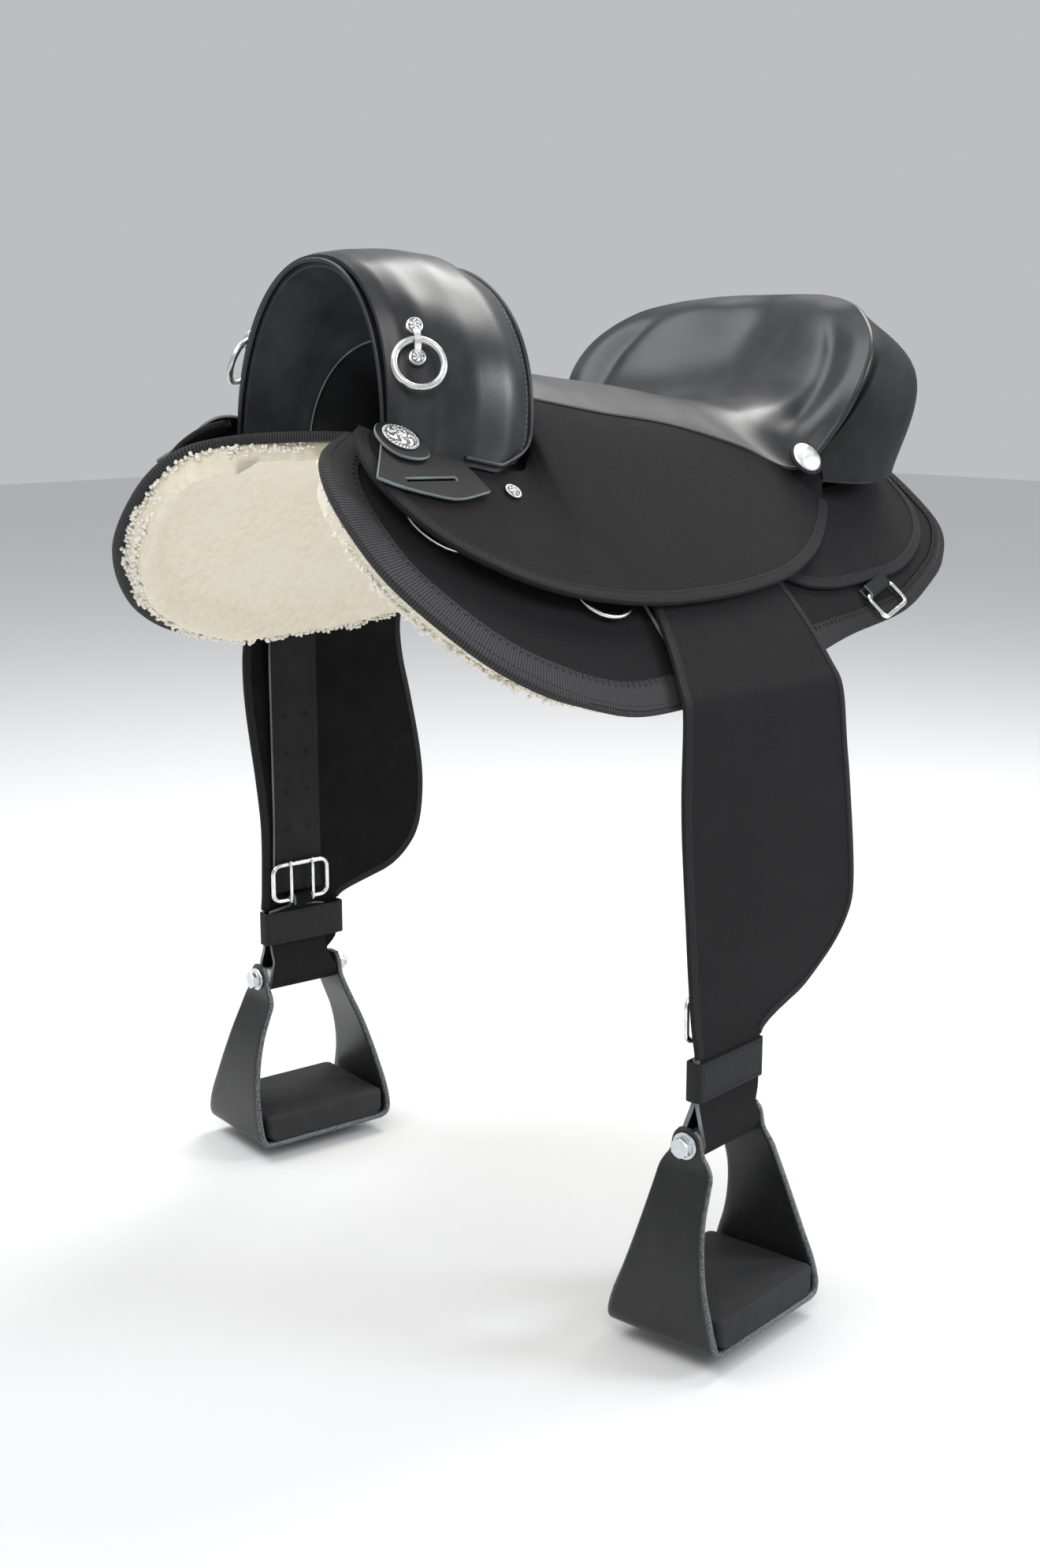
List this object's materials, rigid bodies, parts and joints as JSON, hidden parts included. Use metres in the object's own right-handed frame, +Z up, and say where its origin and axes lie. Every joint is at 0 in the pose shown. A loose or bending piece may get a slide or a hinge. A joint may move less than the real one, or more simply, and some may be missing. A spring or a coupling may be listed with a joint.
{
  "type": "western gaited saddle",
  "caption": "Hornless western saddle with a padded dished seat, wide open gullet, cordura skirts over fleece, swinging fenders and bell stirrups with rubber treads.",
  "frame": {"origin": "on the centre plane, under the seat, where the horse or a stand carries the saddle", "axes": "+Z up, front of the saddle towards -Y, left (near) side of the horse towards +X"},
  "size_m": [0.6844, 0.6996, 0.8492],
  "materials": {
    "black_leather": "smooth, semi gloss",
    "cordura": "coarse woven nylon",
    "skirt_cordura": "woven nylon with ribbed binding",
    "fleece": "cream sheepskin pile",
    "nickel": "polished nickel",
    "steel": "plain",
    "tree_cover": "matt, covered tree",
    "stirrup_black": "satin black",
    "tread_rubber": "matte"
  },
  "bodies": {
    "saddle": {"swell_cover": "black_leather", "gullet_lining": "black_leather", "gullet_welt": "black_leather", "seat_panel": "black_leather", "cantle_back": "cordura", "tree_fork": "tree_cover", "jockey_left": "cordura", "jockey_right": "cordura", "rear_jockey_left": "cordura", "rear_jockey_right": "cordura", "skirt_left": "skirt_cordura", "skirt_right": "skirt_cordura", "fleece_left": "fleece", "fleece_right": "fleece", "tree_bar_left": "tree_cover", "tree_bar_right": "tree_cover", "latigo_keeper_left": "black_leather", "latigo_keeper_right": "black_leather", "front_rigging_dee_tab_left": "black_leather", "front_rigging_dee_tab_right": "black_leather", "rear_rigging_dee_tab_left": "black_leather", "rear_rigging_dee_tab_right": "black_leather", "rear_skirt_dee_tab_left": "black_leather", "rear_skirt_dee_tab_right": "black_leather", "ring_clip_left": "nickel", "ring_clip_right": "nickel", "seat_screw_left": "nickel", "seat_screw_right": "nickel", "rear_concho_left": "nickel", "rear_concho_right": "nickel", "front_concho_left": "nickel", "front_concho_right": "nickel"},
    "leathers_left": {"fender_left": "cordura", "stirrup_leather_left": "black_leather", "buckle_frame_left": "nickel", "hobble_strap_left": "black_leather", "bolt_sleeve_left": "steel"},
    "stirrup_left": {"stirrup_frame_left": "stirrup_black", "tread_pad_left": "tread_rubber", "stirrup_bolt_left": "nickel"},
    "tongue_front_left": {"buckle_tongue_front_left": "nickel"},
    "tongue_rear_left": {"buckle_tongue_rear_left": "nickel"},
    "hung_swell_ring_left": {"swell_ring_left": "nickel"},
    "hung_front_rigging_dee_left": {"front_rigging_dee_left": "nickel"},
    "hung_rear_rigging_dee_left": {"rear_rigging_dee_left": "nickel"},
    "hung_rear_skirt_dee_left": {"rear_skirt_dee_left": "nickel"},
    "leathers_right": {"fender_right": "cordura", "stirrup_leather_right": "black_leather", "buckle_frame_right": "nickel", "hobble_strap_right": "black_leather", "bolt_sleeve_right": "steel"},
    "stirrup_right": {"stirrup_frame_right": "stirrup_black", "tread_pad_right": "tread_rubber", "stirrup_bolt_right": "nickel"},
    "tongue_front_right": {"buckle_tongue_front_right": "nickel"},
    "tongue_rear_right": {"buckle_tongue_rear_right": "nickel"},
    "hung_swell_ring_right": {"swell_ring_right": "nickel"},
    "hung_front_rigging_dee_right": {"front_rigging_dee_right": "nickel"},
    "hung_rear_rigging_dee_right": {"rear_rigging_dee_right": "nickel"},
    "hung_rear_skirt_dee_right": {"rear_skirt_dee_right": "nickel"}
  },
  "joints": [
    {"name": "fender_swing_left", "type": "hinge", "parent": "saddle", "child": "leathers_left", "pos_m": [0.24084, -0.05494, -0.128], "axis": [0.809, 0, 0.5878], "range_deg": [-8, 8]},
    {"name": "stirrup_swing_left", "type": "hinge", "parent": "leathers_left", "child": "stirrup_left", "pos_m": [0.281, -0.045, -0.528], "axis": [-0.1045, 0.9945, 0], "range_deg": [-50, 50]},
    {"name": "tongue_front_left_lift", "type": "hinge", "parent": "leathers_left", "child": "tongue_front_left", "pos_m": [0.27113, -0.05841, -0.449], "axis": [0.0872, -0.9962, 0], "range_deg": [0, 60]},
    {"name": "tongue_rear_left_lift", "type": "hinge", "parent": "leathers_left", "child": "tongue_rear_left", "pos_m": [0.26895, -0.03351, -0.449], "axis": [0.0872, -0.9962, 0], "range_deg": [0, 60]},
    {"name": "swell_ring_left_swing", "type": "hinge", "parent": "saddle", "child": "hung_swell_ring_left", "pos_m": [0.10569, -0.20558, 0.09327], "axis": [-0.4779, -0.8784, 0], "range_deg": [0, 70]},
    {"name": "front_rigging_dee_left_swing", "type": "hinge", "parent": "saddle", "child": "hung_front_rigging_dee_left", "pos_m": [0.14816, -0.2159, -0.03532], "axis": [-0.5575, -0.625, 0.5464], "range_deg": [0, 8]},
    {"name": "rear_rigging_dee_left_swing", "type": "hinge", "parent": "saddle", "child": "hung_rear_rigging_dee_left", "pos_m": [0.20022, -0.10894, -0.08838], "axis": [-0.0498, -0.9965, 0.0668], "range_deg": [0, 8]},
    {"name": "rear_skirt_dee_left_swing", "type": "hinge", "parent": "saddle", "child": "hung_rear_skirt_dee_left", "pos_m": [0.22237, 0.21922, -0.11886], "axis": [0.2447, -0.9494, -0.197], "range_deg": [0, 90]},
    {"name": "fender_swing_right", "type": "hinge", "parent": "saddle", "child": "leathers_right", "pos_m": [-0.24084, -0.05494, -0.128], "axis": [-0.809, 0, 0.5878], "range_deg": [-8, 8]},
    {"name": "stirrup_swing_right", "type": "hinge", "parent": "leathers_right", "child": "stirrup_right", "pos_m": [-0.281, -0.045, -0.528], "axis": [0.1045, 0.9945, 0], "range_deg": [-50, 50]},
    {"name": "tongue_front_right_lift", "type": "hinge", "parent": "leathers_right", "child": "tongue_front_right", "pos_m": [-0.27113, -0.05841, -0.449], "axis": [0.0872, 0.9962, 0], "range_deg": [0, 60]},
    {"name": "tongue_rear_right_lift", "type": "hinge", "parent": "leathers_right", "child": "tongue_rear_right", "pos_m": [-0.26895, -0.03351, -0.449], "axis": [0.0872, 0.9962, 0], "range_deg": [0, 60]},
    {"name": "swell_ring_right_swing", "type": "hinge", "parent": "saddle", "child": "hung_swell_ring_right", "pos_m": [-0.10569, -0.20558, 0.09327], "axis": [-0.4779, 0.8784, 0], "range_deg": [0, 70]},
    {"name": "front_rigging_dee_right_swing", "type": "hinge", "parent": "saddle", "child": "hung_front_rigging_dee_right", "pos_m": [-0.14816, -0.2159, -0.03532], "axis": [-0.5575, 0.625, -0.5464], "range_deg": [0, 8]},
    {"name": "rear_rigging_dee_right_swing", "type": "hinge", "parent": "saddle", "child": "hung_rear_rigging_dee_right", "pos_m": [-0.20022, -0.10894, -0.08838], "axis": [-0.0498, 0.9965, -0.0668], "range_deg": [0, 8]},
    {"name": "rear_skirt_dee_right_swing", "type": "hinge", "parent": "saddle", "child": "hung_rear_skirt_dee_right", "pos_m": [-0.22237, 0.21922, -0.11886], "axis": [0.2447, 0.9494, 0.197], "range_deg": [0, 90]}
  ]
}
